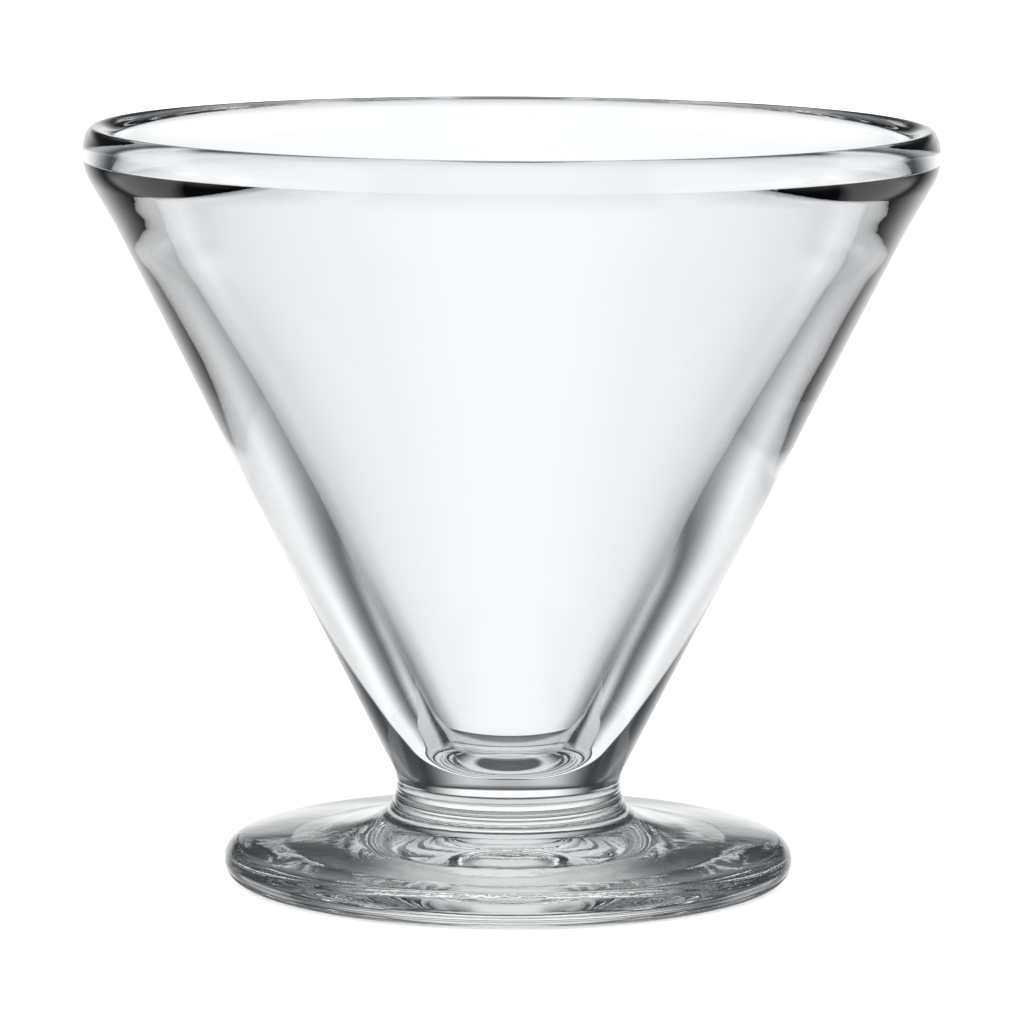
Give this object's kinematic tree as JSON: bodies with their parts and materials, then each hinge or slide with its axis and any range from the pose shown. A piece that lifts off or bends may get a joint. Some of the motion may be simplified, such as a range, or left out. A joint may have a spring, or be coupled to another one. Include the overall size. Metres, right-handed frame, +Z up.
{
  "type": "ice cream glass",
  "caption": "Clear glass ice cream dish: a thick-walled conical bowl with a rolled rim, fused at a narrow waist to a low round trumpet foot.",
  "frame": {"origin": "centre of the foot's underside, in the plane of the table it rests on", "axes": "+Z up along the axis of the glass; X and Y are any two directions across it"},
  "size_m": [0.1036, 0.1036, 0.0918],
  "materials": {
    "bowl_glass": "fire-polished, clear",
    "foot_glass": "fire-polished over faint chill ripples, clear"
  },
  "bodies": {
    "root": {"bowl": "bowl_glass", "foot": "foot_glass"}
  },
  "joints": []
}
